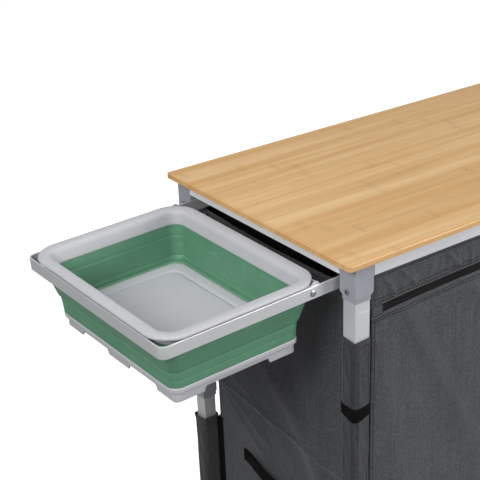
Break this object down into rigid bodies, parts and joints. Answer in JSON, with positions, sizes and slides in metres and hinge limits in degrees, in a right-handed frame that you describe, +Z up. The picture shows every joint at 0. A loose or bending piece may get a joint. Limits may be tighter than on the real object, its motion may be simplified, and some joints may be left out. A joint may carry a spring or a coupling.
{
  "type": "camp kitchen table",
  "caption": "Camp kitchen table: bamboo top on an aluminium frame with telescopic legs, a fabric cupboard with zipped doors and a pull-out carrier that holds a collapsible wash bowl.",
  "frame": {"origin": "on the floor at the centre of the whole footprint, with the bowl carrier pulled out", "axes": "+X along the top, away from the wash bowl; -Y towards the door side; +Z up"},
  "size_m": [1.2928, 0.48, 0.8],
  "materials": {
    "bamboo": "matt lacquered laminated bamboo with a fine straight grain",
    "rail_aluminium": "satin anodised extrusion",
    "leg_aluminium": "satin anodised tube",
    "bracket_plastic": "grey glass-filled nylon, fine moulded texture",
    "screw_chrome": "bright plated",
    "cupboard_fabric": "coated plain-weave polyester",
    "hook_loop": "loop pile tape",
    "zip_tape": "woven tape with a coil of teeth",
    "zip_metal": "dark painted",
    "webbing": "ribbed black webbing",
    "carrier_aluminium": "satin flat bar",
    "shoe_plastic": "smooth nylon",
    "bowl_grey": "satin moulded polypropylene",
    "bowl_green": "matt thermoplastic elastomer",
    "foot_rubber": "moulded rubber"
  },
  "bodies": {
    "root": {"table_top": "bamboo", "front_rail": "rail_aluminium", "rear_rail": "rail_aluminium", "left_rail": "rail_aluminium", "right_rail": "rail_aluminium", "corner_bracket_front_left": "bracket_plastic", "corner_bracket_front_right": "bracket_plastic", "corner_bracket_rear_left": "bracket_plastic", "corner_bracket_rear_right": "bracket_plastic", "bracket_screws": "screw_chrome", "top_screws": "screw_chrome", "upper_leg_front_left": "leg_aluminium", "upper_leg_front_right": "leg_aluminium", "upper_leg_rear_left": "leg_aluminium", "upper_leg_rear_right": "leg_aluminium", "leg_collar_front_left": "bracket_plastic", "leg_collar_front_right": "bracket_plastic", "leg_collar_rear_left": "bracket_plastic", "leg_collar_rear_right": "bracket_plastic", "sleeve_front_left": "cupboard_fabric", "sleeve_front_right": "cupboard_fabric", "sleeve_rear_left": "cupboard_fabric", "sleeve_rear_right": "cupboard_fabric", "hook_loop_bands": "hook_loop", "left_panel": "cupboard_fabric", "right_panel": "cupboard_fabric", "back_panel": "cupboard_fabric", "front_header": "cupboard_fabric", "cupboard_floor": "cupboard_fabric", "cupboard_shelf": "cupboard_fabric", "zip_top": "zip_tape", "handle_left": "webbing", "handle_right": "webbing", "carrier_track_front": "carrier_aluminium", "carrier_track_rear": "carrier_aluminium", "track_screws": "screw_chrome"},
    "carrier": {"carrier_frame": "carrier_aluminium", "carrier_crossbar": "carrier_aluminium", "carrier_screws": "screw_chrome", "carrier_shoes": "shoe_plastic", "bowl_rim": "bowl_grey", "bowl_band": "bowl_green"},
    "bowl_floor": {"bowl_base": "bowl_grey"},
    "door_left_leaf": {"door_left": "cupboard_fabric", "zip_edge_left": "zip_tape"},
    "door_right_leaf": {"door_right": "cupboard_fabric", "zip_edge_right": "zip_tape"},
    "top_slider": {"zip_slider_top": "zip_metal"},
    "centre_slider": {"zip_slider_centre": "zip_metal"},
    "leg_front_left": {"lower_leg_front_left": "leg_aluminium", "foot_front_left": "foot_rubber"},
    "leg_front_right": {"lower_leg_front_right": "leg_aluminium", "foot_front_right": "foot_rubber"},
    "leg_rear_left": {"lower_leg_rear_left": "leg_aluminium", "foot_rear_left": "foot_rubber"},
    "leg_rear_right": {"lower_leg_rear_right": "leg_aluminium", "foot_rear_right": "foot_rubber"}
  },
  "joints": [
    {"name": "carrier_slide", "type": "slide", "parent": "root", "child": "carrier", "axis": [1, 0, 0], "range_m": [0, 0.29], "deforming": ["left_panel"]},
    {"name": "bowl_collapse", "type": "slide", "parent": "carrier", "child": "bowl_floor", "axis": [-0.0297, 0, 0.9996], "range_m": [0, 0.06], "deforming": ["bowl_band"]},
    {"name": "leg_extend_front_left", "type": "slide", "parent": "root", "child": "leg_front_left", "axis": [0, 0, -1], "range_m": [0, 0.08]},
    {"name": "leg_extend_front_right", "type": "slide", "parent": "root", "child": "leg_front_right", "axis": [0, 0, -1], "range_m": [0, 0.08]},
    {"name": "leg_extend_rear_left", "type": "slide", "parent": "root", "child": "leg_rear_left", "axis": [0, 0, -1], "range_m": [0, 0.08]},
    {"name": "leg_extend_rear_right", "type": "slide", "parent": "root", "child": "leg_rear_right", "axis": [0, 0, -1], "range_m": [0, 0.08]},
    {"name": "door_left_swing", "type": "hinge", "parent": "root", "child": "door_left_leaf", "pos_m": [-0.29877, -0.226, 0.4], "axis": [0, 0, -1], "range_deg": [0, 95]},
    {"name": "door_right_swing", "type": "hinge", "parent": "root", "child": "door_right_leaf", "pos_m": [0.59163, -0.226, 0.4], "axis": [0, 0, 1], "range_deg": [0, 95]},
    {"name": "top_zip_slide", "type": "slide", "parent": "root", "child": "top_slider", "axis": [-1, 0, 0], "range_m": [0, 0.8]},
    {"name": "centre_zip_slide", "type": "slide", "parent": "door_left_leaf", "child": "centre_slider", "axis": [0, 0, -1], "range_m": [0, 0.5]}
  ]
}
